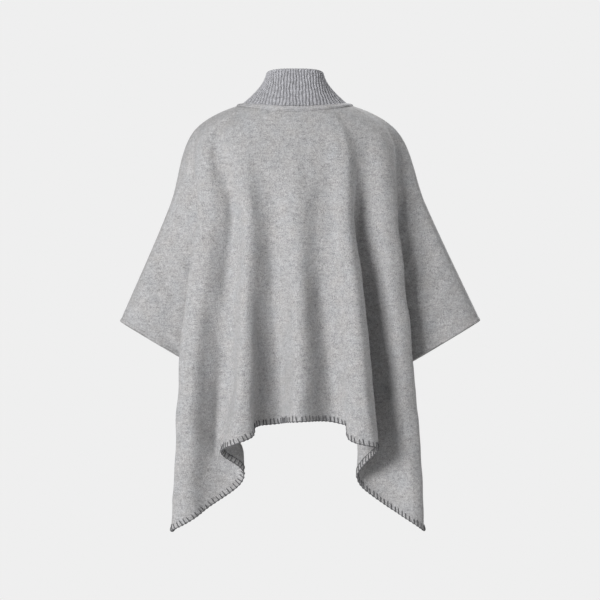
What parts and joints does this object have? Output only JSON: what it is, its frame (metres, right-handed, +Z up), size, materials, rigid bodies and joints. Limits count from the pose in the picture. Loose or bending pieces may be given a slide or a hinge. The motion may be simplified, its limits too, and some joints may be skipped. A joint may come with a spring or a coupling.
{
  "type": "poncho sweater",
  "caption": "Poncho sweater of grey felted wool with a ribbed funnel collar, wide cut-on sleeves and a blanket-stitched handkerchief hem, in its worn shape.",
  "frame": {"origin": "centre of the neck opening, level with the shoulder ends of the neck seam", "axes": "+Z up the neck, +Y out of the chest, so that the back faces -Y, +X towards the wearer's right"},
  "size_m": [0.7574, 0.3169, 0.9662],
  "materials": {
    "felt": "heathered felted wool, matt with a short nap",
    "rib_knit": "heathered wool rib knit, matt"
  },
  "bodies": {
    "root": {"back": "felt", "front": "felt", "neck_band": "felt", "collar": "rib_knit"}
  },
  "joints": []
}
